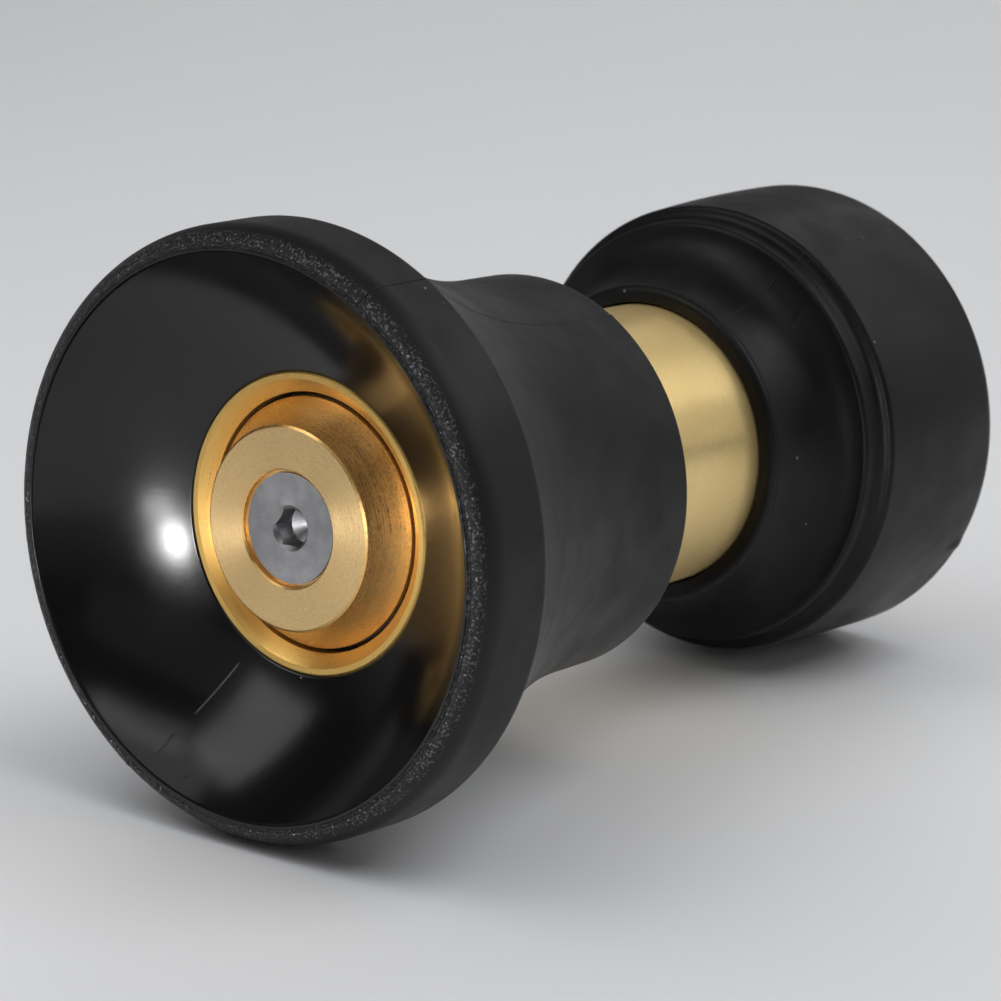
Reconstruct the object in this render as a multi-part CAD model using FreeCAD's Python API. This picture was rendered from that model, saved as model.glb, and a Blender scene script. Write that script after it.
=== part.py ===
import FreeCAD, Part
import math
import os
from FreeCAD import Vector

# Twist-to-open bumper nozzle for a 3/4 inch (GHT / NH 11.5) hose.
# Millimetres. The nozzle axis is Y: the hose enters at +Y and the spray leaves towards -Y.
# y = 0 is the plane where the hose thread starts, just inside the coupling's mouth chamfer.
# "r" is a radius from the axis and "y" a station along it. Every part is shown at rest: shut off.

# ---- driving dimensions: outside shape ----
LENGTH = 130.65            # front lip to rear rubber face
REAR_FACE = 3.0            # rear rubber face, proud of the coupling
TUBE_R = 20.6              # outside of the barrel tube
BELL_R = 41.5              # front bumper band
BELL_BAND = 12.35          # width of that band, including the lip's round
SLEEVE_R = 28.2            # front bumper at its rear end
KNOB_R = 34.1              # rear bumper band
KNOB_FRONT_R = 33.4        # the band narrows slightly towards its front edge
KNOB_LENGTH = 42.6
SLEEVE_GAP = 26.9          # bare tube between the two bumpers

# ---- driving dimensions: water way ----
THREAD_MINOR_R = 12.3      # 3/4-11.5 NH female minor radius
THREAD_MAJOR_R = 13.62     # 3/4-11.5 NH female major radius
THREAD_LENGTH = 10.0
WATER_BORE_R = 8.0
ORIFICE_R = 17.74
PINTLE_R = 17.08
SEAL_BORE_R = 18.2         # barrel bore that the stem O-rings run in
TWIST_THREAD_R = 19.2      # major radius of the twist thread
TRAVEL = 10.0              # barrel advance from shut to jet

# ---- fits ----
RUN = 0.04                 # radial clearance of running fits
STATIC = 0.02              # gap between parts that are assembled tight
RING_CLEAR = 0.02          # O-ring outside diameter to the bore it wipes

# ---- stations along the axis ----
LIP_FRONT = REAR_FACE - LENGTH
BELL_REAR = LIP_FRONT + BELL_BAND
KNOB_FRONT = REAR_FACE - KNOB_LENGTH
SLEEVE_REAR = KNOB_FRONT - SLEEVE_GAP
BARREL_FRONT = LIP_FRONT + 13.3
BARREL_REAR = -26.0
COUPLING_FRONT = -24.0
COLLAR_FRONT = -59.9
COLLAR_REAR = -48.05
LANDS_FRONT = -81.0
PORTS_Y = -88.0
STEM_NOSE = -107.0
PINTLE_FACE = BARREL_FRONT - 3.85
SCREW_FACE = PINTLE_FACE + 0.7

AXIS = Vector(0, 1, 0)
ACROSS = Vector(1, 0, 0)
UP = Vector(0, 0, 1)
ORIGIN = Vector(0, 0, 0)


# ---- building blocks ----
class Outline:
    """A closed outline in the radius / y half-plane, turned about the nozzle axis."""

    def __init__(self, r, y):
        self.start = self.here = Vector(r, y, 0)
        self.edges = []

    def to(self, *corners):
        """Straight edges through the given (r, y) corners."""
        for r, y in corners:
            end = Vector(r, y, 0)
            self.edges.append(Part.LineSegment(self.here, end).toShape())
            self.here = end
        return self

    def arc(self, middle, end):
        """Circular arc through middle to end."""
        middle, end = Vector(*middle, 0), Vector(*end, 0)
        self.edges.append(Part.Arc(self.here, middle, end).toShape())
        self.here = end
        return self

    def sweep(self, *poles):
        """Bezier curve from here, pulled by the poles; the last pole is its end."""
        poles = [self.here] + [Vector(r, y, 0) for r, y in poles]
        curve = Part.BezierCurve()
        curve.setPoles(poles)
        self.edges.append(curve.toShape())
        self.here = poles[-1]
        return self

    def turned(self):
        """Closes the outline and revolves it into a solid."""
        self.to((self.start.x, self.start.y))
        face = Part.Face(Part.Wire(self.edges))
        return face.revolve(ORIGIN, AXIS, 360)


def ring(r_in, r_out, y_low, y_high):
    """A plain turned ring; a disc or rod when r_in is 0."""
    outline = Outline(r_in, y_low).to((r_out, y_low), (r_out, y_high), (r_in, y_high))
    return outline.turned()


def o_ring(r_outer, cord, y):
    """A round-section ring whose outside touches r_outer."""
    return Part.makeTorus(r_outer - cord / 2, cord / 2, Vector(0, y, 0), AXIS)


def circles(solid, r, y):
    """The solid's circular edges of radius r at station y."""
    found = []
    for edge in solid.Edges:
        curve = edge.Curve
        if curve.TypeId != "Part::GeomCircle":
            continue
        if abs(curve.Radius - r) < 1e-4 and abs(curve.Center.y - y) < 1e-4:
            found.append(edge)
    return found


def rounded(solid, size, *places):
    """Rounds the circular edges at the given (r, y) places."""
    return solid.makeFillet(size, [e for place in places for e in circles(solid, *place)])


def bevelled(solid, size, *places):
    """Chamfers the circular edges at the given (r, y) places."""
    return solid.makeChamfer(size, [e for place in places for e in circles(solid, *place)])


def around(shape, count):
    """Copies of shape spaced evenly about the nozzle axis."""
    copies = []
    for i in range(count):
        copy = shape.copy()
        copy.rotate(ORIGIN, AXIS, i * 360.0 / count)
        copies.append(copy)
    return copies


def hexagon(across_flats, centre, direction_1, direction_2):
    """A flat hexagonal face round centre, spanned by two unit directions."""
    corner_r = across_flats / math.sqrt(3)
    corners = []
    for i in range(7):
        angle = math.radians(60 * i)
        offset = direction_1 * math.cos(angle) + direction_2 * math.sin(angle)
        corners.append(centre + offset * corner_r)
    return Part.Face(Part.makePolygon(corners))


# ---- front bumper: bell, cove and sleeve in one rubber moulding ----
RETENTION_GROOVES = (-104.0, -82.0, -71.0)   # centres of the barrel grooves the rubber keys into
GROOVE_WIDTH = 4.0
GROOVE_R = 20.0
LIP_WIDTH = 3.4            # from the bell's outside to the edge of the bowl
BOWL_MID_R = 29.9          # a point half way up the bowl, this far out ...
BOWL_MID_DEPTH = 5.0       # ... and this far in front of the barrel
COVE_END = -73.0           # the cove behind the bell runs out into the sleeve here


def front_bumper():
    seat_r = TUBE_R + STATIC
    edge_r = BELL_R - LIP_WIDTH
    outline = Outline(seat_r, BARREL_FRONT + 0.1)
    outline.arc((BOWL_MID_R, BARREL_FRONT - BOWL_MID_DEPTH), (edge_r, LIP_FRONT + 0.65))
    outline.to((edge_r + 0.15, LIP_FRONT + 0.1), (edge_r + 0.5, LIP_FRONT))
    outline.sweep((BELL_R - 1.3, LIP_FRONT), (BELL_R, LIP_FRONT + 1.9), (BELL_R, LIP_FRONT + 4.2))
    outline.to((BELL_R, BELL_REAR))
    outline.sweep((SLEEVE_R + 0.1, (BELL_REAR + COVE_END) / 2), (SLEEVE_R + 0.1, COVE_END))
    outline.to((SLEEVE_R, SLEEVE_REAR), (seat_r, SLEEVE_REAR))
    rib_r = GROOVE_R + STATIC
    half = GROOVE_WIDTH / 2 - STATIC
    for y in sorted(RETENTION_GROOVES, reverse=True):
        outline.to((seat_r, y + half), (rib_r, y + half), (rib_r, y - half), (seat_r, y - half))
    bumper = outline.turned()
    bumper = rounded(bumper, 0.9, (SLEEVE_R, SLEEVE_REAR))
    return rounded(bumper, 0.5, (BELL_R, BELL_REAR))


# ---- barrel: one brass tube from the spray orifice back into the rear bumper ----
RIM_R = 19.6
LAND_FRONT = BARREL_FRONT + 1.56
LAND_REAR = LAND_FRONT + 4.2
RELIEF_R = 18.9
RELIEF_REAR = -92.0        # the water way opens from the seal bore to the relief just before here
GUIDE_SEAT_R = 19.4
GUIDE_FRONT = COLLAR_REAR + TRAVEL + 0.05
GUIDE_LENGTH = 7.0
CIRCLIP_GROOVE_R = 19.95
CIRCLIP_R = 17.4
CIRCLIP_WIDTH = 1.2
CIRCLIP_GAP = 7.0


def barrel():
    circlip_front = GUIDE_FRONT + GUIDE_LENGTH
    circlip_rear = circlip_front + CIRCLIP_WIDTH + 0.1
    outline = Outline(RIM_R, BARREL_FRONT).to((TUBE_R, BARREL_FRONT))
    for y in sorted(RETENTION_GROOVES):
        low, high = y - GROOVE_WIDTH / 2, y + GROOVE_WIDTH / 2
        outline.to((TUBE_R, low), (GROOVE_R, low), (GROOVE_R, high), (TUBE_R, high))
    outline.to((TUBE_R, BARREL_REAR), (GUIDE_SEAT_R, BARREL_REAR))
    outline.to((GUIDE_SEAT_R, circlip_rear), (CIRCLIP_GROOVE_R, circlip_rear))
    outline.to((CIRCLIP_GROOVE_R, circlip_front), (GUIDE_SEAT_R, circlip_front))
    outline.to((GUIDE_SEAT_R, GUIDE_FRONT), (TWIST_THREAD_R, GUIDE_FRONT))
    outline.to((TWIST_THREAD_R, COLLAR_FRONT - 0.1), (SEAL_BORE_R, COLLAR_FRONT - 0.1))
    outline.to((SEAL_BORE_R, RELIEF_REAR + RELIEF_R - SEAL_BORE_R), (RELIEF_R, RELIEF_REAR))
    outline.to((RELIEF_R, LAND_REAR + 1.8), (ORIFICE_R, LAND_REAR), (ORIFICE_R, LAND_FRONT))
    tube = outline.turned()
    return bevelled(tube, 0.25, (TUBE_R, BARREL_FRONT), (TUBE_R, BARREL_REAR))


def guide_ring():
    """Acetal bush that centres the barrel's rear end on the stem neck and stops it at full travel."""
    y_low, y_high = GUIDE_FRONT + STATIC, GUIDE_FRONT + GUIDE_LENGTH - STATIC
    bush = ring(STEM_NECK_R + RUN, GUIDE_SEAT_R - RUN, y_low, y_high)
    return bevelled(bush, 0.4, (STEM_NECK_R + RUN, y_high))


def retaining_ring():
    """Internal spring clip that holds the guide ring in the barrel: a flat ring with a gap."""
    y_low = GUIDE_FRONT + GUIDE_LENGTH + 0.04
    clip = ring(CIRCLIP_R, CIRCLIP_GROOVE_R - 0.05, y_low, y_low + CIRCLIP_WIDTH)
    corner = Vector(-CIRCLIP_GAP / 2, y_low - 1.0, -TUBE_R)
    return clip.cut(Part.makeBox(CIRCLIP_GAP, CIRCLIP_WIDTH + 2.0, TUBE_R - CIRCLIP_R + 2.0, corner))


# ---- stem: the fixed brass core ----
STEM_NECK_R = 14.5
TAIL_R = 11.5
TAIL_REAR = -16.0
ROD_R = 10.5
NOSE_R = 7.5
SCREW_R = 4.0
DRILL_POINT = 0.6          # depth of a drilled cone, as a share of its radius
PORT_R = 3.2
PORT_COUNT = 6
TAP_DEPTH = 9.6
STEM_RINGS = (-72.9, -77.9)
RING_CORD = 2.4
TAIL_CORD = 1.8
TAIL_RING_Y = -21.6
LOCK_Y = -18.3
LOCK_GROOVE_DEPTH = 1.2


def ring_groove(outer_r, depth, width, y):
    """The ring of material that an O-ring groove removes from a shaft."""
    return ring(outer_r - depth, outer_r + 1.0, y - width / 2, y + width / 2)


def stem():
    outline = Outline(WATER_BORE_R, TAIL_REAR)
    outline.to((TAIL_R, TAIL_REAR), (TAIL_R, COUPLING_FRONT - STATIC))
    outline.to((STEM_NECK_R, COUPLING_FRONT - STATIC), (STEM_NECK_R, COLLAR_REAR))
    outline.to((TWIST_THREAD_R - RUN, COLLAR_REAR), (TWIST_THREAD_R - RUN, COLLAR_FRONT))
    outline.to((SEAL_BORE_R - RUN, COLLAR_FRONT), (SEAL_BORE_R - RUN, LANDS_FRONT))
    outline.to((ROD_R, LANDS_FRONT - 3.0), (ROD_R, PORTS_Y - 4.0))
    outline.to((NOSE_R, PORTS_Y - 8.0), (NOSE_R, STEM_NOSE), (0, STEM_NOSE))
    bore_end = PORTS_Y - 3.0
    outline.to((0, bore_end - DRILL_POINT * WATER_BORE_R), (WATER_BORE_R, bore_end))
    core = outline.turned()
    core = bevelled(core, 0.6, (TAIL_R, TAIL_REAR), (TWIST_THREAD_R - RUN, COLLAR_FRONT))
    core = bevelled(core, 0.6, (TWIST_THREAD_R - RUN, COLLAR_REAR))
    for y in STEM_RINGS:
        core = core.cut(ring_groove(SEAL_BORE_R - RUN, RING_CORD, RING_CORD + 0.5, y))
    core = core.cut(ring_groove(TAIL_R, TAIL_CORD, TAIL_CORD + 0.4, TAIL_RING_Y))
    lock_groove = Outline(TAIL_R - LOCK_GROOVE_DEPTH, LOCK_Y)
    half = LOCK_GROOVE_DEPTH + 1.0
    lock_groove.to((TAIL_R + 1.0, LOCK_Y - half), (TAIL_R + 1.0, LOCK_Y + half))
    core = core.cut(lock_groove.turned())
    port = Part.makeCylinder(PORT_R, ROD_R, Vector(0, PORTS_Y, WATER_BORE_R - 2.0), UP)
    for hole in around(port, PORT_COUNT):
        core = core.cut(hole)
    tap_r, tap_end = SCREW_R + STATIC, STEM_NOSE + TAP_DEPTH
    tapped = Outline(0, STEM_NOSE - 1.0).to((tap_r, STEM_NOSE - 1.0), (tap_r, tap_end))
    tapped.to((0, tap_end + DRILL_POINT * SCREW_R))
    return core.cut(tapped.turned())


def stem_o_ring(y):
    return o_ring(SEAL_BORE_R - RING_CLEAR, RING_CORD, y)


# ---- pintle: the brass plug that closes the orifice and spreads the spray ----
PINTLE_FACE_R = 13.9
PINTLE_FLARE_MID_R = 15.2  # the flare is hollow: its middle lies inside a straight cone
PINTLE_RECESS_R = 7.95
PINTLE_REAR = LAND_REAR
HUB_R = 9.0
HUB_REAR = PINTLE_REAR + 4.1
HEAD_R = 7.5
HEAD_RIM = 0.4
SCREW_LENGTH = 20.0
HEX_ACROSS = 5.0
HEX_DEPTH = 3.2
FACE_SEAL_R = 6.5
FACE_SEAL_CORD = 1.5
FACE_SEAL_DEPTH = 1.25
SCREW_CLEAR = 0.03
SCREW_POINT = 0.8          # bevel at the screw's end
PINTLE_RING_Y = LAND_FRONT + 2.1
PINTLE_RING_CORD = 2.0


def pintle():
    flare_middle = (PINTLE_FLARE_MID_R, (PINTLE_FACE + LAND_FRONT) / 2 + 0.15)
    outline = Outline(0, PINTLE_FACE).to((PINTLE_FACE_R, PINTLE_FACE))
    outline.arc(flare_middle, (PINTLE_R, LAND_FRONT))
    outline.to((PINTLE_R, PINTLE_REAR), (HUB_R, HUB_REAR), (0, HUB_REAR))
    plug = outline.turned()
    groove_depth = PINTLE_RING_CORD - (ORIFICE_R - PINTLE_R) + 2 * STATIC
    groove_width = PINTLE_RING_CORD + 0.5
    plug = plug.cut(ring_groove(PINTLE_R, groove_depth, groove_width, PINTLE_RING_Y))
    plug = plug.cut(ring(0, NOSE_R + STATIC, STEM_NOSE - STATIC, HUB_REAR + 1.0))
    seal_in, seal_out = FACE_SEAL_R - FACE_SEAL_CORD - 0.1, FACE_SEAL_R + 0.1
    plug = plug.cut(ring(seal_in, seal_out, STEM_NOSE - FACE_SEAL_DEPTH, STEM_NOSE))
    plug = plug.cut(screw_hole())
    return bevelled(plug, 0.25, (PINTLE_FACE_R, PINTLE_FACE), (PINTLE_RECESS_R, PINTLE_FACE))


def screw_hole():
    """The counterbore, countersink and clearance hole for the pintle screw."""
    rim_y = SCREW_FACE + HEAD_RIM
    head_r, shank_r = HEAD_R + SCREW_CLEAR, SCREW_R + SCREW_CLEAR
    hole = Outline(0, PINTLE_FACE - 1.0).to((PINTLE_RECESS_R, PINTLE_FACE - 1.0))
    hole.to((PINTLE_RECESS_R, rim_y), (head_r, rim_y), (shank_r, rim_y + HEAD_R - SCREW_R))
    hole.to((shank_r, STEM_NOSE + 1.0), (0, STEM_NOSE + 1.0))
    return hole.turned()


def pintle_screw():
    """M8 countersunk screw with a 5 mm hexagon socket."""
    rim_y = SCREW_FACE + HEAD_RIM
    outline = Outline(0, SCREW_FACE).to((HEAD_R, SCREW_FACE), (HEAD_R, rim_y))
    end_y = SCREW_FACE + SCREW_LENGTH
    outline.to((SCREW_R, rim_y + HEAD_R - SCREW_R), (SCREW_R, end_y - SCREW_POINT))
    outline.to((SCREW_R - SCREW_POINT, end_y), (0, end_y))
    return outline.turned().cut(socket())


def socket():
    """The hexagon socket with its round lead-in and drilled point."""
    face = hexagon(HEX_ACROSS, AXIS * (SCREW_FACE - 1.0), ACROSS, UP)
    flats = face.extrude(AXIS * (HEX_DEPTH + 1.0))
    corner_r = HEX_ACROSS / math.sqrt(3)
    mouth = Outline(0, SCREW_FACE - 0.1).to((corner_r + 0.35, SCREW_FACE - 0.1))
    mouth.to((0, SCREW_FACE + corner_r + 0.25))
    bottom = SCREW_FACE + HEX_DEPTH - 0.01
    point = Outline(0, bottom).to((HEX_ACROSS / 2, bottom), (0, bottom + DRILL_POINT * HEX_ACROSS / 2))
    return flats.fuse([mouth.turned(), point.turned()])


def pintle_o_ring():
    return o_ring(ORIFICE_R - RING_CLEAR, PINTLE_RING_CORD, PINTLE_RING_Y)


def screw_seal():
    """Small face-seal ring under the pintle, round the screw, shown squeezed."""
    return o_ring(FACE_SEAL_R - 0.15, FACE_SEAL_DEPTH - 0.05, STEM_NOSE - FACE_SEAL_DEPTH / 2)


# ---- inlet: hose coupling, washer, strainer and locking screws ----
COUPLING_R = 19.5
RIB_R = 21.3
RIBS = (-19.0, -12.5, -6.0)
RIB_WIDTH = 3.0
UNDERCUT_R = 13.65
UNDERCUT_FRONT = -14.4
THROAT_R = 9.0             # opening from the undercut to the stem's bore
MOUTH_CHAMFER = THREAD_MAJOR_R - THREAD_MINOR_R
LOCK_R = 2.0
LOCK_OUTER = 18.9          # outer end of a locking screw, just below the coupling's skin
LOCK_SOCKET = 2.0          # across flats
LOCK_SOCKET_DEPTH = 2.2


def coupling():
    outline = Outline(THREAD_MAJOR_R, MOUTH_CHAMFER).to((THREAD_MINOR_R, 0), (THREAD_MINOR_R, -THREAD_LENGTH))
    outline.to((UNDERCUT_R, -THREAD_LENGTH), (UNDERCUT_R, UNDERCUT_FRONT), (THROAT_R, UNDERCUT_FRONT))
    outline.to((THROAT_R, TAIL_REAR + 0.1), (TAIL_R + STATIC, TAIL_REAR + 0.1))
    outline.to((TAIL_R + STATIC, COUPLING_FRONT), (COUPLING_R, COUPLING_FRONT))
    for y in sorted(RIBS):
        low, high = y - RIB_WIDTH / 2, y + RIB_WIDTH / 2
        outline.to((COUPLING_R, low), (RIB_R, low + 0.5), (RIB_R, high - 0.5), (COUPLING_R, high))
    outline.to((COUPLING_R, MOUTH_CHAMFER))
    body = outline.turned()
    body = bevelled(body, 0.5, (COUPLING_R, MOUTH_CHAMFER))
    drilling = Part.makeCylinder(LOCK_R + STATIC, COUPLING_R, Vector(0, LOCK_Y, TAIL_R - 1.5), UP)
    for hole in around(drilling, 2):
        body = body.cut(hole)
    return body


def lock_screws():
    """Two cone-point grub screws through the coupling into the stem's locking groove."""
    shoulder, tip = TAIL_R + 0.7, TAIL_R - 0.5
    body = Part.makeCylinder(LOCK_R, LOCK_OUTER - shoulder, Vector(0, LOCK_Y, shoulder), UP)
    point = Part.makeCone(0.6, LOCK_R, shoulder - tip, Vector(0, LOCK_Y, tip), UP)
    face = hexagon(LOCK_SOCKET, Vector(0, LOCK_Y, LOCK_OUTER + 1.0), ACROSS, AXIS)
    socket_cut = face.extrude(UP * -(LOCK_SOCKET_DEPTH + 1.0))
    screw = body.fuse(point).removeSplitter().cut(socket_cut)
    return Part.makeCompound(around(screw, 2))


WASHER_R = 8.2             # inside of the hose washer
WASHER_REAR = -10.4
STRAINER_REAR = -13.52
STRAINER_HOLE_R = 0.9
STRAINER_PITCH = 2.5       # between the rings of holes
STRAINER_ROWS = 3          # rings of 6, 12 and 18 holes round a central one


def hose_washer():
    y_low = STRAINER_REAR + STATIC
    washer = ring(WASHER_R, UNDERCUT_R - 0.25, y_low, WASHER_REAR)
    return rounded(washer, 0.5, (WASHER_R, y_low), (WASHER_R, WASHER_REAR))


def inlet_strainer():
    """Perforated stainless disc under the hose washer."""
    disc = ring(0, UNDERCUT_R - 0.2, UNDERCUT_FRONT + 0.03, STRAINER_REAR)
    start = UNDERCUT_FRONT - 1.0
    holes = [Part.makeCylinder(STRAINER_HOLE_R, 3.0, Vector(0, start, 0), AXIS)]
    for row in range(1, STRAINER_ROWS + 1):
        one = Part.makeCylinder(STRAINER_HOLE_R, 3.0, Vector(row * STRAINER_PITCH, start, 0), AXIS)
        holes += around(one, 6 * row)
    return disc.cut(Part.makeCompound(holes))


def coupling_o_ring():
    return o_ring(TAIL_R + STATIC / 2, TAIL_CORD, TAIL_RING_Y)


# ---- rear bumper: the rubber knob round the inlet ----
CAVITY_R = 20.9            # the barrel slides inside with a little air round it
MOUTH_R = 22.3             # the flat mouth rounds off from here into the neck
NECK_R = 23.4              # neck, just behind the mouth
SHOULDER_R = 30.6          # outer end of the hollow behind the neck
LEDGE_R = 31.45            # ledge between that hollow and the step up to the band


def rear_bumper():
    seat_r = COUPLING_R + STATIC
    rib_r = RIB_R + STATIC
    outline = Outline(CAVITY_R, KNOB_FRONT + 0.2)
    outline.to((CAVITY_R + 0.2, KNOB_FRONT), (MOUTH_R, KNOB_FRONT))
    outline.arc((NECK_R - 0.3, KNOB_FRONT + 0.3), (NECK_R, KNOB_FRONT + 1.3))
    outline.sweep(
        (NECK_R + 0.7, KNOB_FRONT + 7.8), (NECK_R + 2.4, KNOB_FRONT + 11.4), (SHOULDER_R, KNOB_FRONT + 11.9)
    )
    outline.arc((LEDGE_R - 0.2, KNOB_FRONT + 12.15), (LEDGE_R, KNOB_FRONT + 12.8))
    outline.to((LEDGE_R + 0.15, KNOB_FRONT + 14.8), (LEDGE_R + 0.45, KNOB_FRONT + 15.2))
    outline.to((KNOB_FRONT_R - 0.5, KNOB_FRONT + 15.6))
    outline.arc((KNOB_FRONT_R - 0.12, KNOB_FRONT + 15.8), (KNOB_FRONT_R, KNOB_FRONT + 16.3))
    outline.arc((KNOB_R - 0.1, KNOB_FRONT + 27.0), (KNOB_R, REAR_FACE))
    outline.to((seat_r + 0.6, REAR_FACE), (seat_r, REAR_FACE - 0.6))
    for y in sorted(RIBS, reverse=True):
        low, high = y - RIB_WIDTH / 2 - STATIC, y + RIB_WIDTH / 2 + STATIC
        outline.to((seat_r, high), (rib_r, high - 0.5), (rib_r, low + 0.5), (seat_r, low))
    outline.to((seat_r, COUPLING_FRONT + 0.2), (CAVITY_R, COUPLING_FRONT + 0.2))
    knob = outline.turned()
    return rounded(knob, 2.9, (KNOB_R, REAR_FACE))


PARTS = {
    "rear_bumper": rear_bumper,
    "coupling": coupling,
    "hose_washer": hose_washer,
    "inlet_strainer": inlet_strainer,
    "lock_screws": lock_screws,
    "coupling_o_ring": coupling_o_ring,
    "stem": stem,
    "stem_o_ring_rear": lambda: stem_o_ring(STEM_RINGS[0]),
    "stem_o_ring_front": lambda: stem_o_ring(STEM_RINGS[1]),
    "pintle": pintle,
    "pintle_o_ring": pintle_o_ring,
    "screw_seal": screw_seal,
    "pintle_screw": pintle_screw,
    "guide_ring": guide_ring,
    "barrel": barrel,
    "retaining_ring": retaining_ring,
    "front_bumper": front_bumper,
}

os.makedirs("parts", exist_ok=True)
for name, make in PARTS.items():
    make().exportStep(f"parts/{name}.step")
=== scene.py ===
import math

import bpy
import numpy as np
from mathutils import Matrix, Vector

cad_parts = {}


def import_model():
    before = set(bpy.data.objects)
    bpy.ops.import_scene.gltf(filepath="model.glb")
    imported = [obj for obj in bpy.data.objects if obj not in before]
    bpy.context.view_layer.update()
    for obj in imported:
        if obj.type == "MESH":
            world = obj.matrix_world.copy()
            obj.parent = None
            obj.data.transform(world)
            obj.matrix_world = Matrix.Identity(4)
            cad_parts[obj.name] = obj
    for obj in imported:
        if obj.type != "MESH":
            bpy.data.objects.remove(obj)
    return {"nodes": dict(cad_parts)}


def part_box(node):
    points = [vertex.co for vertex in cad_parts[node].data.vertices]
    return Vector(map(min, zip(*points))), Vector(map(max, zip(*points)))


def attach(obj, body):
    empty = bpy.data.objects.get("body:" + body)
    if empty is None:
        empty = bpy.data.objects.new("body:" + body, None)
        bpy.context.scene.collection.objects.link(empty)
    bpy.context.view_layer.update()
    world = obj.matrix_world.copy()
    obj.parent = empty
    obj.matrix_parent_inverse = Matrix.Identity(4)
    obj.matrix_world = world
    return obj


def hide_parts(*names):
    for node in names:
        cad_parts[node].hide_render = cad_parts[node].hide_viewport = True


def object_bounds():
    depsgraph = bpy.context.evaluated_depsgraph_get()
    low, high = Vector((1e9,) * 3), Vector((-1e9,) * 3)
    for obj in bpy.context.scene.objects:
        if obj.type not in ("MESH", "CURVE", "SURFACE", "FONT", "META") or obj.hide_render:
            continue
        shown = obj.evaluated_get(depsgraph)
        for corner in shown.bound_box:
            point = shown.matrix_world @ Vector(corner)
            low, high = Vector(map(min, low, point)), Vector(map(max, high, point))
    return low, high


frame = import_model()
CAD_LOW, CAD_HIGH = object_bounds()

# A twist-to-open bumper nozzle. Metres; the nozzle axis is Y and the spray leaves towards -Y.
# "r" is a radius from that axis, "y" a station along it, and an angle is measured from +X towards +Z.
MM = 0.001
TAU = 2 * math.pi

PARTING = (math.radians(61.0), math.radians(241.0))   # where the two mould halves of each rubber meet
RIDGE_WIDTH = 0.13 * MM     # half width of the flash ridge along that line
STEP_REACH = 2.2 * MM       # how far the step between the halves takes to fade


# ---------------------------------------------------------------- outlines
def line(a, b, step):
    """Points from a to b, without b, about one step apart."""
    a, b = np.array(a, float), np.array(b, float)
    count = max(1, round(np.linalg.norm(b - a) / step))
    t = np.arange(count)[:, None] / count
    return a + t * (b - a)


def curve(poles, step):
    """Points on the Bezier curve with these poles, without its last point."""
    poles = np.array(poles, float)
    count = max(3, round(np.linalg.norm(np.diff(poles, axis=0), axis=1).sum() / step))
    t = np.arange(count)[:, None] / count
    degree = len(poles) - 1
    return sum(math.comb(degree, i) * (1 - t) ** (degree - i) * t**i * p for i, p in enumerate(poles))


def arc(a, middle, b, step):
    """Points on the circular arc from a through middle to b, without b."""
    a, m, b = (np.array(p, float) for p in (a, middle, b))
    rows = 2 * np.array([m - a, b - a])
    centre = np.linalg.solve(rows, [m @ m - a @ a, b @ b - a @ a])
    radius = np.linalg.norm(a - centre)
    start, through, end = (math.atan2(*(p - centre)[::-1]) for p in (a, m, b))
    sweep = (end - start) % TAU
    if (through - start) % TAU > sweep:
        sweep -= TAU
    count = max(3, round(abs(sweep) * radius / step))
    angles = start + sweep * np.arange(count) / count
    return centre + radius * np.column_stack([np.cos(angles), np.sin(angles)])


class Outline:
    """A closed outline in the radius / y half-plane, made of named stretches."""

    def __init__(self):
        self.points, self.zones = [], []

    def add(self, zone, points):
        self.points.append(points)
        self.zones += [zone] * len(points)

    def arrays(self):
        """The points, each point's outward normal and the name of its stretch."""
        points = np.vstack(self.points)
        ahead, behind = np.roll(points, -1, axis=0), np.roll(points, 1, axis=0)
        along = ahead - behind
        along /= np.linalg.norm(along, axis=1)[:, None]
        x, y = points.T
        area = np.sum(x * ahead[:, 1] - ahead[:, 0] * y)
        outward = np.column_stack([along[:, 1], -along[:, 0]]) * (1 if area > 0 else -1)
        return points, outward, np.array(self.zones)


def angle_from(angles, centre):
    """Signed angle from centre, between -pi and pi."""
    return (angles - centre + math.pi) % TAU - math.pi


def columns_around(count, fine_at):
    """Angles round the axis: evenly spaced, with closer ones at the given angles."""
    fine_half, fine_step = math.radians(1.2), math.radians(0.08)
    angles = np.arange(count) * TAU / count
    for centre in fine_at:
        off = np.abs(angle_from(angles, centre))
        close = centre + np.arange(-fine_half, fine_half, fine_step)
        angles = np.concatenate([angles[off > fine_half + fine_step], close % TAU])
    return np.sort(angles)


def revolve(name, outline, angles, relief, materials, zone_material):
    """Turns an outline into a closed mesh.

    relief(points, zones, angles) gives each point's height along its normal. zone_material gives the number
    of the material on each stretch that doesn't have the first one."""
    points, outward, zones = outline.arrays()
    height = relief(points, zones, angles)
    r = points[:, :1] + outward[:, :1] * height
    y = points[:, 1:] + outward[:, 1:] * height
    co = np.stack([r * np.cos(angles), y, r * np.sin(angles)], axis=-1).reshape(-1, 3)
    rows, cols = r.shape
    i, j = np.meshgrid(np.arange(rows), np.arange(cols), indexing="ij")
    i2, j2 = (i + 1) % rows, (j + 1) % cols
    quads = np.stack([i * cols + j, i2 * cols + j, i2 * cols + j2, i * cols + j2], axis=-1).reshape(-1, 4)
    a, b, c = co[quads[:, 0]], co[quads[:, 1]], co[quads[:, 2]]
    if np.einsum("ij,ij->i", a, np.cross(b, c)).sum() < 0:
        quads = quads[:, ::-1]
    piece = mesh_object(name, co, quads)
    for material in materials:
        piece.data.materials.append(material)
    index = np.array([zone_material.get(z, 0) for z in zones])
    piece.data.polygons.foreach_set("material_index", np.repeat(index, cols).astype(np.int32))
    return piece


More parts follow.
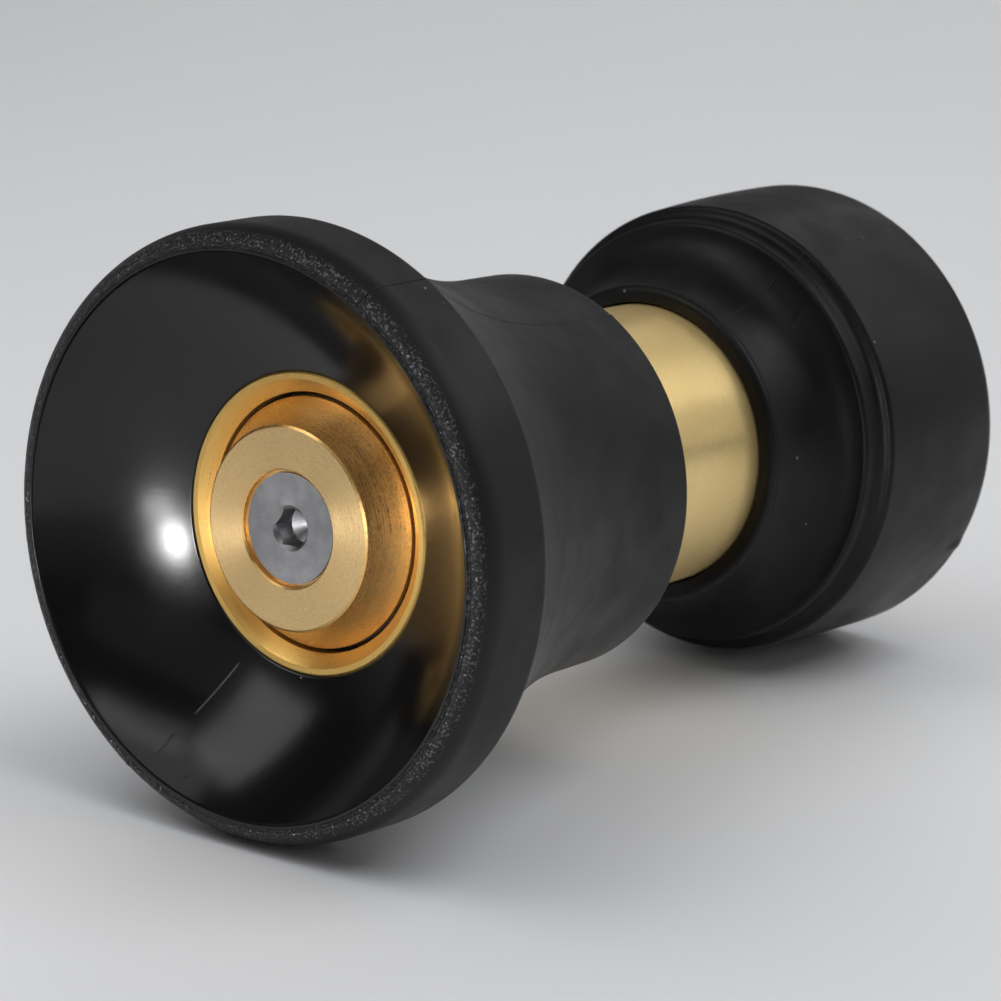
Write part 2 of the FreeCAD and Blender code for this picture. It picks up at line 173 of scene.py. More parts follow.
def mesh_object(name, co, quads):
    """A smooth-shaded mesh object in the scene, from corner points and rows of four indices."""
    mesh = bpy.data.meshes.new(name)
    mesh.vertices.add(len(co))
    mesh.vertices.foreach_set("co", co.astype(np.float32).ravel())
    mesh.loops.add(quads.size)
    mesh.loops.foreach_set("vertex_index", quads.astype(np.int32).ravel())
    mesh.polygons.add(len(quads))
    mesh.polygons.foreach_set("loop_start", np.arange(len(quads), dtype=np.int32) * quads.shape[1])
    mesh.polygons.foreach_set("use_smooth", np.ones(len(quads), bool))
    mesh.update(calc_edges=True)
    mesh.validate()
    piece = bpy.data.objects.new(name, mesh)
    bpy.context.scene.collection.objects.link(piece)
    return piece


def strokes(points, angles, along, marks):
    """Heights of small marks: start, start angle, end, end angle, half width, height, in mm and degrees."""
    height = np.zeros((len(points), len(angles)))
    for start, angle_1, end, angle_2, width, tall in marks:
        middle = math.radians((angle_1 + angle_2) / 2)
        sideways = points[:, :1] * angle_from(angles, middle) / MM
        lengthways = along[:, None] / MM - (start + end) / 2
        mean_r = points[np.abs(along / MM - (start + end) / 2).argmin(), 0] / MM
        half = np.array([mean_r * math.radians(angle_2 - angle_1) / 2, (end - start) / 2])
        share = (sideways * half[0] + lengthways * half[1]) / max(half @ half, 1e-9)
        share = np.clip(share, -1, 1)
        gap = np.hypot(sideways - share * half[0], lengthways - share * half[1])
        height += tall * MM * np.exp(-((gap / width) ** 2))
    return height


def smooth_noise(rng, shape):
    """Random heights, smoothed once and brought to a spread of 1; the last axis wraps round."""
    field = rng.standard_normal(shape)
    field = (np.roll(field, 1, 1) + field + np.roll(field, -1, 1)) / 3
    padded = np.pad(field, ((1, 1), (0, 0)), mode="edge")
    field = (padded[:-2] + field + padded[2:]) / 3
    return field / field.std()


# ---------------------------------------------------------------- node materials
class Material:
    """A procedural material: each method adds nodes and returns the socket that holds their result."""

    def __init__(self, name):
        self.data = bpy.data.materials.new(name)
        self.data.use_nodes = True
        self.tree = self.data.node_tree
        self.tree.nodes.clear()
        self.shader = self.node("ShaderNodeBsdfPrincipled")
        output = self.node("ShaderNodeOutputMaterial")
        self.tree.links.new(self.shader.outputs[0], output.inputs["Surface"])

    def node(self, kind, **settings):
        made = self.tree.nodes.new(kind)
        for key, value in settings.items():
            setattr(made, key, value)
        return made

    def feed(self, socket, value):
        if isinstance(value, bpy.types.NodeSocket):
            self.tree.links.new(value, socket)
        elif isinstance(value, tuple) and len(value) == 3 and socket.type == "RGBA":
            socket.default_value = (*value, 1.0)
        else:
            socket.default_value = value

    def set(self, **values):
        for key, value in values.items():
            self.feed(self.shader.inputs[key.replace("_", " ")], value)

    def math(self, operation, *values):
        made = self.node("ShaderNodeMath", operation=operation)
        for socket, value in zip(made.inputs, values):
            self.feed(socket, value)
        return made.outputs[0]

    def vector_math(self, operation, *values):
        made = self.node("ShaderNodeVectorMath", operation=operation)
        for socket, value in zip(made.inputs, values):
            self.feed(socket, value)
        return made.outputs["Value" if operation in ("LENGTH", "DOT_PRODUCT") else "Vector"]

    def position(self):
        return self.node("ShaderNodeTexCoord").outputs["Object"]

    def split(self, vector):
        made = self.node("ShaderNodeSeparateXYZ")
        self.feed(made.inputs[0], vector)
        return made.outputs

    def join(self, x, y, z):
        made = self.node("ShaderNodeCombineXYZ")
        for socket, value in zip(made.inputs, (x, y, z)):
            self.feed(socket, value)
        return made.outputs[0]

    def radial(self):
        """Position's part square to the axis, its length, and the station y."""
        x, y, z = self.split(self.position())
        flat = self.join(x, 0.0, z)
        return flat, self.vector_math("LENGTH", flat), y

    def noise(self, vector, scale, detail=2.0, roughness=0.5):
        made = self.node("ShaderNodeTexNoise")
        self.feed(made.inputs["Vector"], vector)
        made.inputs["Scale"].default_value = scale
        made.inputs["Detail"].default_value = detail
        made.inputs["Roughness"].default_value = roughness
        return made.outputs[0]

    def lathe_lines(self, across, along):
        """Noise drawn out round the axis: fine turning lines on faces, cones and cylinders alike."""
        flat, r, y = self.radial()
        direction = self.vector_math("NORMALIZE", flat)
        around = self.vector_math("SCALE", direction)
        around.node.inputs["Scale"].default_value = along
        station = self.math("MULTIPLY", self.math("MULTIPLY_ADD", r, 1.7, y), across)
        return self.noise(self.vector_math("ADD", around, self.join(0.0, station, 0.0)), 1.0, 3.0)

    def spread(self, value, low, high, to_low=0.0, to_high=1.0):
        """Maps low..high smoothly to to_low..to_high, held at the ends."""
        made = self.node("ShaderNodeMapRange", interpolation_type="SMOOTHSTEP")
        for socket, given in zip(made.inputs, (value, low, high, to_low, to_high)):
            self.feed(socket, given)
        return made.outputs[0]

    def mix(self, share, a, b):
        made = self.node("ShaderNodeMix", data_type="RGBA")
        self.feed(made.inputs["Factor"], share)
        self.feed(made.inputs[6], a)
        self.feed(made.inputs[7], b)
        return made.outputs[2]

    def bump(self, height, depth, normal=None):
        """Bump of the given depth in metres for a height of 1."""
        made = self.node("ShaderNodeBump")
        made.inputs["Strength"].default_value = 1.0
        made.inputs["Distance"].default_value = depth
        self.feed(made.inputs["Height"], height)
        if normal is not None:
            self.feed(made.inputs["Normal"], normal)
        return made.outputs[0]

    def specks(self, scale, size, share):
        """Sparse dots: 1 inside a dot, else 0. size is in cells, share is the part of cells with a dot."""
        made = self.node("ShaderNodeTexVoronoi", feature="F1")
        self.feed(made.inputs["Vector"], self.position())
        made.inputs["Scale"].default_value = scale
        near = self.math("LESS_THAN", made.outputs["Distance"], size)
        chosen = self.math("LESS_THAN", self.split(made.outputs["Color"])[0], share)
        return self.math("MULTIPLY", near, chosen)

    def round_tangent(self):
        made = self.node("ShaderNodeTangent", direction_type="RADIAL", axis="Y")
        return made.outputs[0]


def rubber_outside(name, roughness, shine, bloom):
    """Black moulding: cloudy, fine grain, a few dust specks. bloom is the pale sheen at grazing angles."""
    m = Material(name)
    place = m.position()
    cloud = m.noise(place, 55.0, 5.0, 0.6)
    grain = m.noise(place, 2600.0, 3.0)
    dust = m.specks(420.0, 0.10, 0.035)
    base = m.mix(m.spread(cloud, 0.35, 0.75), (0.0024, 0.0024, 0.0028), (0.0065, 0.0065, 0.0075))
    m.set(Base_Color=m.mix(dust, base, (0.16, 0.15, 0.15)), Specular_IOR_Level=shine)
    m.set(Roughness=m.spread(m.noise(place, 140.0, 4.0), 0.3, 0.7, roughness, roughness + 0.12))
    m.set(Sheen_Weight=m.spread(cloud, 0.35, 0.75, bloom * 0.7, bloom * 1.3), Sheen_Roughness=0.35)
    soft = m.bump(m.noise(place, 300.0, 3.0), 0.00002)
    m.set(Normal=m.bump(grain, 0.00002, soft))
    return m.data


GRAIN_FADES, GRAIN_ENDS = 2.1 * MM, 2.8 * MM     # where the lip's grain stops, outwards of the bowl's edge


def rubber_lip(edge_r):
    """Rubber where the mould was spark-eroded: fine grain from the bowl's edge to the lip's crest, with
    glossy flecks whose pale grey base colour is a painted glitter.
    """
    m = Material("rubber_lip")
    place = m.position()
    r = m.radial()[1]
    rough_zone = m.spread(r, edge_r + GRAIN_FADES, edge_r + GRAIN_ENDS, 1.0, 0.0)
    grain = m.math("MULTIPLY", m.noise(place, 2900.0, 2.0, 0.7), rough_zone)
    flecks_and_painted_glints = m.spread(m.noise(place, 2700.0, 1.0), 0.54, 0.66)
    shine = m.math("MULTIPLY", flecks_and_painted_glints, rough_zone)
    # The flecks inside the grained zone are glossier and more specular, and their pale grey base colour is
    # painted glitter.
    m.set(Base_Color=m.mix(shine, (0.0035, 0.0035, 0.004), (0.115, 0.11, 0.12)))
    m.set(Metallic=m.math("MULTIPLY", shine, 0.5), Specular_IOR_Level=m.spread(shine, 0.0, 1.0, 0.36, 0.75))
    m.set(Roughness=m.spread(shine, 0.0, 1.0, 0.50, 0.22), Normal=m.bump(grain, 0.00022))
    m.set(Sheen_Weight=0.06, Sheen_Roughness=0.35)
    return m.data


def rubber_bowl():
    """Polished inside of the bell: deep gloss with faint smears, rays and dust."""
    m = Material("rubber_bowl")
    flat, r, _ = m.radial()
    place = m.position()
    direction = m.vector_math("NORMALIZE", flat)
    outward = m.join(0.0, m.math("MULTIPLY", r, 9.0), 0.0)
    rays = m.noise(m.vector_math("ADD", direction, outward), 26.0, 2.0)
    smear = m.noise(place, 90.0, 4.0, 0.6)
    dust = m.specks(330.0, 0.055, 0.03)
    m.set(Base_Color=m.mix(dust, (0.006, 0.006, 0.0065), (0.25, 0.24, 0.23)))
    m.set(Roughness=m.spread(smear, 0.35, 0.75, 0.16, 0.21), Specular_IOR_Level=0.46)
    ripple = m.bump(rays, 0.000004)
    m.set(Normal=m.bump(m.noise(place, 900.0, 2.0), 0.000002, ripple))
    return m.data


def brass(name, base, tint, roughness, line_depth, anisotropy, metallic, faced=None, painted_interreflection=None):
    """Turned brass: fine lathe lines, faint tarnish clouds and an anisotropic sheen round the axis.

    base and tint are the colours of clean and tarnished metal. faced is the colour of faces turned square
    to the axis. The last argument is a station y and the deeper colour painted ahead of it: a painted
    reflection of brass in brass."""
    m = Material(name)
    lines = m.lathe_lines(9000.0, 2.0)
    coarse = m.lathe_lines(1500.0, 1.2)
    cloud = m.noise(m.position(), 70.0, 5.0, 0.6)
    pits = m.specks(700.0, 0.07, 0.006)
    grain = m.noise(m.position(), 2200.0, 3.0, 0.7)
    colour = m.mix(m.spread(cloud, 0.3, 0.75), base, tint)
    if faced:
        normal = m.node("ShaderNodeTexCoord").outputs["Normal"]
        square = m.spread(m.math("ABSOLUTE", m.split(normal)[1]), 0.9, 0.98)
        colour = m.mix(square, colour, faced)
    # Painted reflection: the barrel ahead of the station gets a deeper orange, for brass reflected in
    # brass.
    if painted_interreflection:
        station, deeper = painted_interreflection
        ahead = m.spread(m.radial()[2], station - 1 * MM, station + 1 * MM, 1.0, 0.0)
        colour = m.mix(ahead, colour, deeper)
    worn = m.mix(m.spread(grain, 0.66, 0.78), colour, (1.0, 0.80, 0.46))
    m.set(Base_Color=m.mix(pits, worn, (0.25, 0.16, 0.07)), Metallic=metallic)
    uneven = m.math("ADD", m.spread(lines, 0.3, 0.7, -0.05, 0.05), m.spread(grain, 0.3, 0.7, 0.03, -0.03))
    rough = m.math("ADD", uneven, m.spread(cloud, 0.3, 0.7, roughness, roughness + 0.05))
    m.set(Roughness=rough, Anisotropic=anisotropy, Anisotropic_Rotation=0.25, Tangent=m.round_tangent())
    turned = m.bump(lines, line_depth, m.bump(coarse, line_depth * 1.5))
    m.set(Normal=m.bump(grain, line_depth * 0.6, turned))
    return m.data


def steel(name, colour, roughness):
    """Satin stainless: pale grey with fine turning lines."""
    m = Material(name)
    lines = m.lathe_lines(7000.0, 3.0)
    cloud = m.noise(m.position(), 400.0, 4.0, 0.6)
    dark = tuple(c * 0.8 for c in colour)
    m.set(Base_Color=m.mix(m.spread(cloud, 0.3, 0.7), dark, colour), Metallic=1.0)
    m.set(Roughness=m.spread(cloud, 0.3, 0.7, roughness, roughness + 0.1))
    m.set(Anisotropic=0.3, Tangent=m.round_tangent())
    m.set(Normal=m.bump(lines, 0.000006))
    return m.data


def seal_rubber():
    """Greased O-ring rubber."""
    m = Material("seal_rubber")
    grain = m.noise(m.position(), 3000.0, 2.0)
    m.set(Base_Color=(0.012, 0.012, 0.012), Roughness=m.spread(grain, 0.3, 0.7, 0.25, 0.4))
    m.set(Normal=m.bump(grain, 0.00001))
    return m.data


def acetal():
    """Natural white acetal with turning lines."""
    m = Material("acetal")
    lines = m.lathe_lines(5000.0, 2.0)
    m.set(Base_Color=m.mix(lines, (0.80, 0.79, 0.74), (0.86, 0.85, 0.81)), Roughness=0.38)
    m.set(Subsurface_Weight=0.1, Subsurface_Radius=(0.002, 0.002, 0.002), Subsurface_Scale=1.0)
    m.set(Normal=m.bump(lines, 0.00001))
    return m.data


# ---------------------------------------------------------------- rubber mouldings
def parting_relief(points, angles, ridge, step):
    """A thin flash ridge and a slight step where the mould halves met."""
    height = np.zeros((len(points), len(angles)))
    for centre in PARTING:
        away = points[:, :1] * angle_from(angles, centre)
        height += ridge * np.exp(-((away / RIDGE_WIDTH) ** 2))
        height += step * np.exp(-np.abs(away) / STEP_REACH) * (away < 0)
    return height


# Handling marks for strokes(). Starts and ends are stations y on the outside and radii in the bowl.
SLEEVE_MARKS = (
    (-92.0, -32.0, -74.0, -46.0, 0.35, -0.030),
    (-90.0, -36.5, -79.0, -44.0, 0.30, 0.020),
    (-94.0, -22.0, -88.0, -18.0, 0.35, -0.030),
    (-92.5, -25.0, -89.0, -22.5, 0.30, -0.020),
    (-72.7, -20.0, -72.7, -20.0, 0.30, 0.12),
    (-84.9, 20.0, -84.9, 20.0, 0.30, 0.10),
    (-77.8, 8.7, -77.8, 8.7, 0.25, 0.08),
    (-127.2, 61.0, -126.6, 61.0, 0.40, -0.15),
)
BOWL_MARKS = (
    (23.5, -116.5, 30.8, -116.5, 0.22, -0.030),
    (34.5, -116.0, 36.5, -116.0, 0.22, -0.030),
    (30.7, 172.0, 32.8, 180.0, 0.22, 0.020),
    (31.4, 170.0, 33.0, 176.0, 0.20, 0.012),
    (28.3, 136.7, 28.3, 136.7, 0.22, 0.05),
    (24.3, 150.6, 24.3, 150.6, 0.22, 0.05),
    (38.0, 165.9, 38.0, 165.9, 0.25, 0.06),
    (36.6, -106.0, 36.6, -106.0, 0.25, 0.06),
    (22.2, -124.0, 22.2, -124.0, 0.20, 0.04),
)
KNOB_MARKS = (
    (-29.0, 47.0, -26.8, 51.0, 0.35, -0.05),
    (-28.0, 52.0, -25.5, 56.0, 0.30, -0.04),
    (-27.2, 57.0, -26.2, 61.0, 0.30, 0.04),
    (-24.4, 50.0, -23.4, 58.0, 0.40, -0.03),
)
BOWL_SCRATCH = math.radians(-116.3) % TAU     # angle of the longest bowl mark, which needs closer columns

SEAT_GAP = 0.02 * MM          # between the bell and the barrel it sits on
LIP_GRAIN = 0.008 * MM
BELL_RIDGE, BELL_STEP = 0.07 * MM, 0.08 * MM
BELL_GROOVE = -0.26 * MM      # sinks the parting line on the band and the lip
KNOB_RIDGE, KNOB_STEP = 0.025 * MM, 0.03 * MM
# The stub where the knob was cut off its runner.
NIB_ANGLE, NIB_FROM_REAR = math.radians(-28.5), 3.2 * MM
NIB_WIDTH, NIB_LENGTH, NIB_HEIGHT = 1.1 * MM, 1.4 * MM, 0.35 * MM


def front_bumper():
    """The bell: gloss bowl, polished edge, crease, grained lip, band, cove and sleeve in one moulding."""
    low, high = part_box("front_bumper")
    ring_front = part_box("barrel")[0].y
    bell_r, lip, sleeve_rear = high.x, low.y, high.y
    seat_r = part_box("barrel")[1].x + SEAT_GAP
    band_rear = lip + 12.35 * MM
    sleeve_r = bell_r - 13.3 * MM
    edge_r = bell_r - 3.4 * MM
    cove_end = sleeve_rear - 6.5 * MM
    front_edge = lip + 4.2 * MM

    def at(out_mm, back_mm):
        """A point this far outwards of the bowl's edge and this far behind the lip."""
        return (edge_r + out_mm * MM, lip + back_mm * MM)

    def sleeve_at(in_mm, ahead_mm):
        """A point this far inside the sleeve's surface and this far ahead of its rear end."""
        return (sleeve_r - in_mm * MM, sleeve_rear - ahead_mm * MM)

    out = Outline()
    bowl_start = (seat_r, ring_front + 0.1 * MM)
    bowl_middle = (29.9 * MM, ring_front - 5.0 * MM)
    out.add("bowl", arc(bowl_start, bowl_middle, at(0.0, 0.28), 0.35 * MM))
    out.add("land", curve([at(0.0, 0.28), at(0.02, 0.0), at(0.15, 0.0)], 0.06 * MM))
    out.add("land", line(at(0.15, 0.0), at(0.42, 0.0), 0.1 * MM))
    out.add("crease", curve([at(0.42, 0.0), at(0.5, 0.02), at(0.52, 0.32), at(0.72, 0.32)], 0.06 * MM))
    out.add("crease", curve([at(0.72, 0.32), at(0.95, 0.32), at(0.95, 0.12), at(1.2, 0.16)], 0.06 * MM))
    out.add("lip", curve([at(1.2, 0.16), (bell_r - 1.25 * MM, lip + 0.45 * MM),
                          (bell_r, lip + 1.9 * MM), (bell_r, front_edge)], 0.16 * MM))
    out.add("band", line((bell_r, front_edge), (bell_r, band_rear - 0.5 * MM), 0.35 * MM))
    cove_top = (bell_r - 0.35 * MM, band_rear + 0.45 * MM)
    cove_foot = (sleeve_r + 0.1 * MM, cove_end)
    cove_middle = (cove_foot[0], (band_rear + cove_end) / 2)
    out.add("band", curve([(bell_r, band_rear - 0.5 * MM), (bell_r, band_rear), cove_top], 0.08 * MM))
    out.add("cove", curve([cove_top, cove_middle, cove_foot], 0.5 * MM))
    out.add("sleeve", line(cove_foot, sleeve_at(0.0, 0.9), 0.5 * MM))
    out.add("sleeve", curve([sleeve_at(0.0, 0.9), sleeve_at(0.0, 0.0), sleeve_at(0.9, 0.0)], 0.12 * MM))
    out.add("rear", line(sleeve_at(0.9, 0.0), (seat_r + 0.25 * MM, sleeve_rear), 0.6 * MM))
    out.add("rear", line((seat_r + 0.25 * MM, sleeve_rear), (seat_r, sleeve_rear - 0.25 * MM), 0.1 * MM))
    out.add("seat", line((seat_r, sleeve_rear - 0.25 * MM), bowl_start, 1.5 * MM))

    def relief(points, zones, angles):
        rng = np.random.default_rng(11)
        is_lip = np.isin(zones, ["lip", "crease"])
        height = np.zeros((len(points), len(angles)))
        grain = smooth_noise(rng, (is_lip.sum(), len(angles)))
        left = edge_r + GRAIN_ENDS - points[is_lip][:, :1]
        height[is_lip] += grain * np.clip(left / (GRAIN_ENDS - GRAIN_FADES), 0.0, 1.0) * LIP_GRAIN
        outside = np.isin(zones, ["band", "cove", "sleeve", "lip"])[:, None]
        grooved = np.isin(zones, ["band", "lip"])[:, None]
        seam = parting_relief(points, angles, BELL_RIDGE, BELL_STEP)
        seam += grooved * parting_relief(points, angles, BELL_GROOVE, 0.0)
        seam += strokes(points, angles, points[:, 1], SLEEVE_MARKS)
        height += seam * outside
        height += strokes(points, angles, points[:, 0], BOWL_MARKS) * (zones == "bowl")[:, None]
        return height

    angles = columns_around(1440, PARTING + (BOWL_SCRATCH,))
    matt = rubber_outside("rubber_matt", 0.45, 0.36, 0.09)
    materials = [matt, rubber_lip(edge_r), rubber_bowl()]
    zone_material = {"lip": 1, "crease": 1, "bowl": 2, "land": 2}
    piece = revolve("front_bumper_moulding", out, angles, relief, materials, zone_material)
    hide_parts("front_bumper")
    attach(piece, "barrel")


def rear_bumper():
    """The knob: mouth round the tube, cove, bead, band that widens to the rear, and the flat hose end."""
    low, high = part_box("rear_bumper")
    knob_r, front, rear = high.x, low.y, high.y
    seat_r = 19.52 * MM
    cavity_r = 20.9 * MM
    band_r = knob_r - 0.7 * MM
    band_front = front + 16.3 * MM
    cavity_floor = -23.8 * MM

    def at(r_mm, back_mm):
        """A point at this radius and this far behind the mouth."""
        return (r_mm * MM, front + back_mm * MM)

    def corner(in_mm, ahead_mm):
        """A point this far inside the knob's largest radius and this far ahead of its rear end."""
        return (knob_r - in_mm * MM, rear - ahead_mm * MM)

    out = Outline()
    out.add("mouth", arc(at(20.9, 0.2), at(20.96, 0.06), at(21.1, 0.0), 0.06 * MM))
    out.add("mouth", line(at(21.1, 0.0), at(22.3, 0.0), 0.2 * MM))
    out.add("mouth", arc(at(22.3, 0.0), at(23.1, 0.3), at(23.4, 1.3), 0.1 * MM))
    out.add("cove", curve([at(23.4, 1.3), at(24.1, 7.8), at(25.8, 11.4), at(30.6, 11.9)], 0.35 * MM))
    out.add("bead", arc(at(30.6, 11.9), at(31.25, 12.15), at(31.45, 12.8), 0.1 * MM))
    ledge = [at(31.45, 12.8), at(31.55, 14.0), at(31.45, 15.2), at(32.0, 15.28), at(32.9, 15.5)]
    out.add("bead", curve(ledge, 0.1 * MM))
    out.add("edge", arc(at(32.9, 15.5), at(33.26, 15.75), (band_r, band_front), 0.08 * MM))
    band_middle = (knob_r - 0.1 * MM, front + 27.0 * MM)
    out.add("band", arc((band_r, band_front), band_middle, corner(0.0, 2.9), 0.5 * MM))
    rounding = [corner(0.0, 2.9), corner(0.0, 1.3), corner(1.3, 0.0), corner(2.9, 0.0)]
    out.add("round", curve(rounding, 0.15 * MM))
    seat_edge = [(seat_r + 0.6 * MM, rear), (seat_r, rear), (seat_r, rear - 0.6 * MM)]
    out.add("face", line(corner(2.9, 0.0), seat_edge[0], 0.5 * MM))
    out.add("face", curve(seat_edge, 0.12 * MM))
    out.add("seat", line((seat_r, rear - 0.6 * MM), (seat_r, cavity_floor), 1.0 * MM))
    out.add("seat", line((seat_r, cavity_floor), (cavity_r, cavity_floor), 0.5 * MM))
    out.add("seat", line((cavity_r, cavity_floor), at(20.9, 0.2), 1.0 * MM))

    def relief(points, zones, angles):
        outside = np.isin(zones, ["cove", "bead", "edge", "band", "round"])[:, None]
        height = parting_relief(points, angles, KNOB_RIDGE, KNOB_STEP)
        height += strokes(points, angles, points[:, 1], KNOB_MARKS)
        height *= outside
        nib = angle_from(angles, NIB_ANGLE) * knob_r / NIB_WIDTH
        at_rear = np.exp(-(((points[:, 1:] - rear + NIB_FROM_REAR) / NIB_LENGTH) ** 2))
        height += NIB_HEIGHT * np.exp(-(nib**2)) * at_rear * outside
        return height

    satin = rubber_outside("rubber_satin", 0.34, 0.27, 0.05)
    piece = revolve("rear_bumper_moulding", out, columns_around(960, PARTING), relief, [satin], {})
    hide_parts("rear_bumper")
    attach(piece, "inlet")


# ---------------------------------------------------------------- CAD nodes keep their shape
def dress(node, material):
    """Gives a CAD node one material."""
    data = frame["nodes"][node].data
    for index in range(len(data.materials)):
        data.materials[index] = material
    if not data.materials:
        data.materials.append(material)


def dress_nodes():
    """Materials for all other nodes. The barrel's ring, deep inside the bell, gets a deeper orange than its
    tube: a painted reflection of brass in brass.
    """
    # Painted reflection: the front 12 mm of the barrel get this deeper orange, for brass reflected in
    # brass.
    ring = (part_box("barrel")[0].y + 12 * MM, (0.86, 0.55, 0.16))
    satin = brass("brass_tube", base=(0.97, 0.73, 0.33), tint=(0.90, 0.66, 0.28), roughness=0.31,
                  line_depth=0.000002, anisotropy=0.65, metallic=0.75, painted_interreflection=ring)
    bright = brass("brass_turned", base=(1.0, 0.60, 0.21), tint=(0.94, 0.55, 0.19), roughness=0.27,
                   line_depth=0.0000009, anisotropy=0.8, metallic=0.85, faced=(0.87, 0.60, 0.28))
    stainless = steel("stainless", (0.39, 0.39, 0.40), 0.30)
    spring = steel("spring_steel", (0.22, 0.22, 0.24), 0.35)
    seal = seal_rubber()
    looks = {
        "barrel": satin, "pintle": bright, "coupling": bright, "stem": bright,
        "pintle_screw": stainless, "inlet_strainer": stainless,
        "lock_screws": spring, "retaining_ring": spring,
        "guide_ring": acetal(), "hose_washer": rubber_outside("rubber_washer", 0.6, 0.3, 0.1),
    }
    for node in frame["nodes"]:
        dress(node, looks.get(node, seal))


# ---------------------------------------------------------------- studio
BELL_TOUCH_Y = -115.3 * MM                            # the bell touches the floor here
KNOB_REST_R, BELL_TO_KNOB = 34.1 * MM, 116.3 * MM     # and the knob this far behind it, at this radius
FLOOR_TILT = math.atan((CAD_HIGH.z - KNOB_REST_R) / BELL_TO_KNOB)
VIEW_AZIMUTH, VIEW_ELEVATION = 38.87, 16.05     # degrees
VIEW_DISTANCE = 0.6126
AIM_OFFSET = Vector((-4.34, -5.20, -4.60)) * MM
LENS = 154.6
APERTURE = 60.0     # only the far floor is a little soft

UPRIGHT = Matrix.Rotation(FLOOR_TILT, 3, "X")    # from the studio's level axes to the row frame


def toward(azimuth, elevation):
    """Unit vector from the nozzle, in the row frame. Azimuth 0 is towards -Y, 90 towards +X, in degrees."""
    a, e = math.radians(azimuth), math.radians(elevation)
    return UPRIGHT @ Vector((math.sin(a) * math.cos(e), -math.cos(a) * math.cos(e), math.sin(e)))


def camera():
    """The photograph's view: from the front and +X side, a little above, focused on the ring."""
    data = bpy.data.cameras.new("camera")
    data.lens, data.sensor_width = LENS, 36.0
    data.clip_start, data.clip_end = 0.01, 50.0
    cam = bpy.data.objects.new("camera", data)
    bpy.context.scene.collection.objects.link(cam)
    back = toward(VIEW_AZIMUTH, VIEW_ELEVATION)
    up = UPRIGHT @ Vector((0, 0, 1))
    up = (up - up.dot(back) * back).normalized()
    right = up.cross(back)
    aim = (CAD_LOW + CAD_HIGH) / 2 + UPRIGHT @ AIM_OFFSET
    place = Matrix((right, up, back)).transposed().to_4x4()
    place.translation = aim + back * VIEW_DISTANCE
    cam.matrix_world = place
    focus = bpy.data.objects.new("focus", None)
    focus.location = (0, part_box("barrel")[0].y, 0)
    bpy.context.scene.collection.objects.link(focus)
    data.dof.use_dof = True
    data.dof.focus_object = focus
    data.dof.aperture_fstop = APERTURE
    bpy.context.scene.camera = cam


ROOM_FRONT = 0.02     # grey of the room in reflections: high in front,
ROOM_LOW = 0.22       # at the horizon in front
ROOM_BACK = 0.12      # and behind the nozzle
SEEN = 0.56           # grey of the backdrop for the camera

# Name, azimuth, elevation, width and height in degrees, distance in metres, watts on matt surfaces and
# watts in reflections. A softbox with both powers becomes two lights.
SOFTBOXES = (
    ("ceiling_right", 105, 58, (50, 34), 1.3, 7.8, 0.0),
    ("ceiling", -140, 76, (60, 50), 1.3, 3.3, 2.9),
    ("ceiling_front", 0, 72, (50, 30), 1.3, 0.0, 1.9),
    ("back_left", -150, 14, (40, 20), 1.3, 2.2, 3.0),
    ("back", 174, 36, (56, 30), 1.3, 0.0, 1.4),
    ("back_right", 140, 14, (40, 22), 1.3, 0.0, 0.7),
    ("back_right_high", 125, 45, (40, 30), 1.3, 0.0, 3.0),
    ("right", 75, 24, (40, 24), 1.3, 1.9, 0.3),
    ("left", -75, 22, (40, 36), 1.3, 1.1, 0.0),
    ("left_back", -115, 45, (40, 30), 1.3, 1.2, 0.0),
    ("front", 0, 30, (70, 20), 1.3, 0.0, 0.4),
    ("near_left", -60, 60, (40, 40), 0.55, 0.55, 0.0),
    ("near_front", 0, 60, (40, 40), 0.55, 0.5, 0.0),
    ("window", 9, 58, (32, 11), 1.3, 0.0, 0.45),
    ("panel", -40, 40, (24, 30), 1.3, 0.0, 1.9),
    ("lamp", 6, 1.5, (9, 9.5), 1.3, 0.0, 7.2),
    ("lamp_glow", 8, 2, (17, 15), 1.3, 0.0, 1.4),
    ("lamp_low", 5, -4.5, (9, 6), 0.25, 0.0, 0.03),
)


def softbox(name, azimuth, elevation, spans, distance, power, in_reflections):
    """One face of a softbox: it lights matt surfaces, or shows in reflections, but not both."""
    data = bpy.data.lights.new(name, "AREA")
    data.shape = "ELLIPSE" if name.startswith("lamp") else "RECTANGLE"
    data.size, data.size_y = (2 * distance * math.tan(math.radians(span / 2)) for span in spans)
    data.energy = power
    light = bpy.data.objects.new(name, data)
    bpy.context.scene.collection.objects.link(light)
    direction = toward(azimuth, elevation)
    light.location = direction * distance + Vector((0, (CAD_LOW.y + CAD_HIGH.y) / 2, 0))
    light.rotation_mode = "QUATERNION"
    light.rotation_quaternion = direction.to_track_quat("Z", "Y")
    light.visible_diffuse = not in_reflections
    light.visible_glossy = in_reflections
    light.visible_camera = False


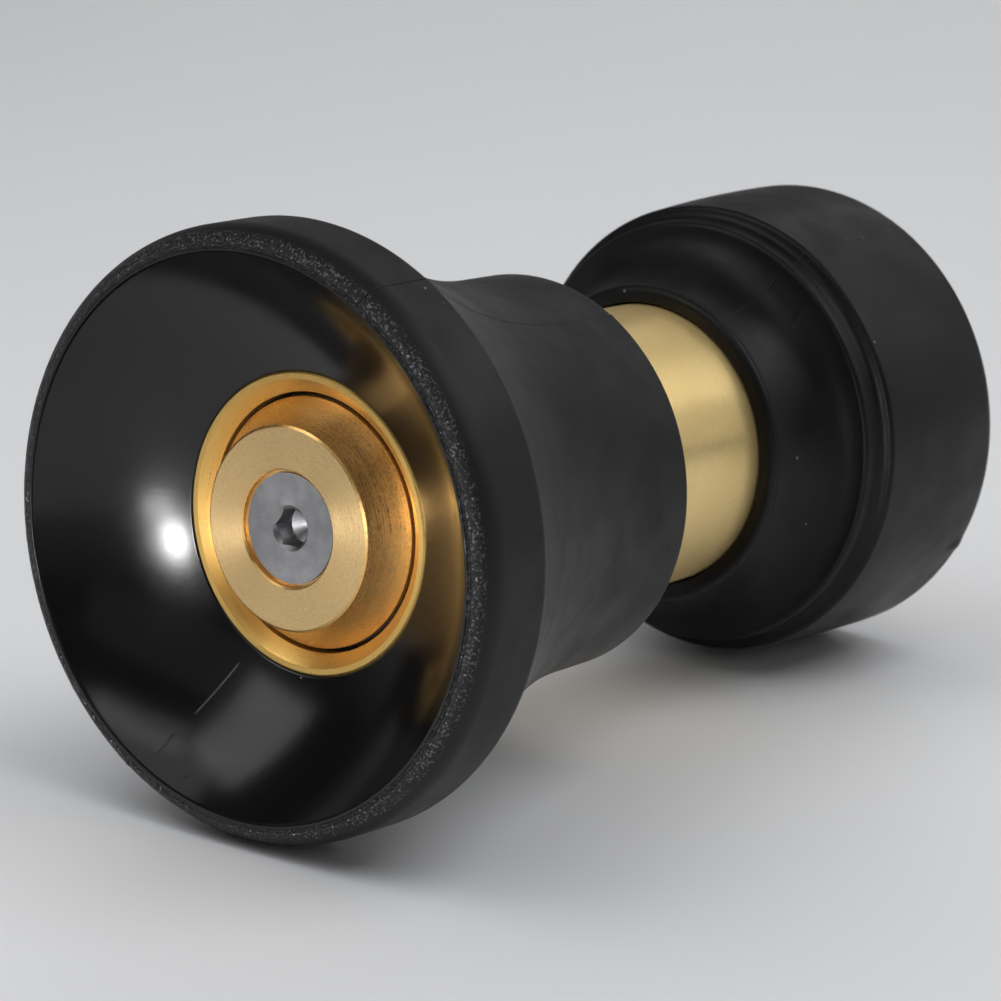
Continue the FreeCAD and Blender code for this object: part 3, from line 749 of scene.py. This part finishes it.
def floor():
    """A plain pale floor that both rubber rims rest on."""
    m = Material("floor")
    fine = m.noise(m.position(), 6.0, 4.0)
    m.set(Base_Color=m.mix(fine, (0.77, 0.78, 0.80), (0.81, 0.82, 0.84)))
    m.set(Roughness=0.6, Specular_IOR_Level=0.2)
    half = 6.0
    co = np.array([(-half, -half, 0), (half, -half, 0), (half, half, 0), (-half, half, 0)])
    piece = mesh_object("floor", co, np.array([[0, 1, 2, 3]]))
    piece.data.materials.append(m.data)
    place = UPRIGHT.to_4x4()
    place.translation = (0, BELL_TOUCH_Y, CAD_LOW.z)
    piece.matrix_world = place


def world():
    """Pale for the camera; in reflections a dark room in front and a pale sweep behind the nozzle."""
    made = bpy.data.worlds.new("world")
    made.use_nodes = True
    tree = made.node_tree

    def grey(name, share):
        """A grey a trace cooler than neutral."""
        node = tree.nodes.new("ShaderNodeRGB")
        node.name = name
        node.outputs[0].default_value = (share * 0.98, share, share * 1.02, 1)
        return node.outputs[0]

    def blend(share, a, b):
        node = tree.nodes.new("ShaderNodeMix")
        node.data_type = "RGBA"
        for socket, source in ((node.inputs[0], share), (node.inputs[6], a), (node.inputs[7], b)):
            tree.links.new(source, socket)
        return node.outputs[2]

    def ramp(value, full):
        """0 where the value is 0 or less, 1 where it is full or more."""
        node = tree.nodes.new("ShaderNodeMapRange")
        node.inputs["From Min"].default_value = 0.0
        node.inputs["From Max"].default_value = full
        tree.links.new(value, node.inputs[0])
        return node.outputs[0]

    direction = tree.nodes.new("ShaderNodeSeparateXYZ")
    tree.links.new(tree.nodes.new("ShaderNodeTexCoord").outputs["Generated"], direction.inputs[0])
    path = tree.nodes.new("ShaderNodeLightPath")
    rearward, raised = ramp(direction.outputs[1], 0.6), ramp(direction.outputs[2], 0.3)
    room_front = blend(raised, grey("room_low", ROOM_LOW), grey("room_front", ROOM_FRONT))
    room = blend(rearward, room_front, grey("room_back", ROOM_BACK))
    reflected = blend(path.outputs["Is Glossy Ray"], grey("nothing", 0.0), room)
    colour = blend(path.outputs["Is Camera Ray"], reflected, grey("seen", SEEN))
    tree.links.new(colour, tree.nodes["Background"].inputs[0])
    bpy.context.scene.world = made


def lights():
    for name, *place, matt, reflected in SOFTBOXES:
        for power, in_reflections, suffix in ((matt, False, "matt"), (reflected, True, "gloss")):
            if power:
                softbox(f"{name}_{suffix}", *place, power, in_reflections)


def studio():
    world()
    floor()
    lights()
    camera()
    bpy.context.scene.view_settings.view_transform = "Standard"


front_bumper()
rear_bumper()
dress_nodes()
studio()
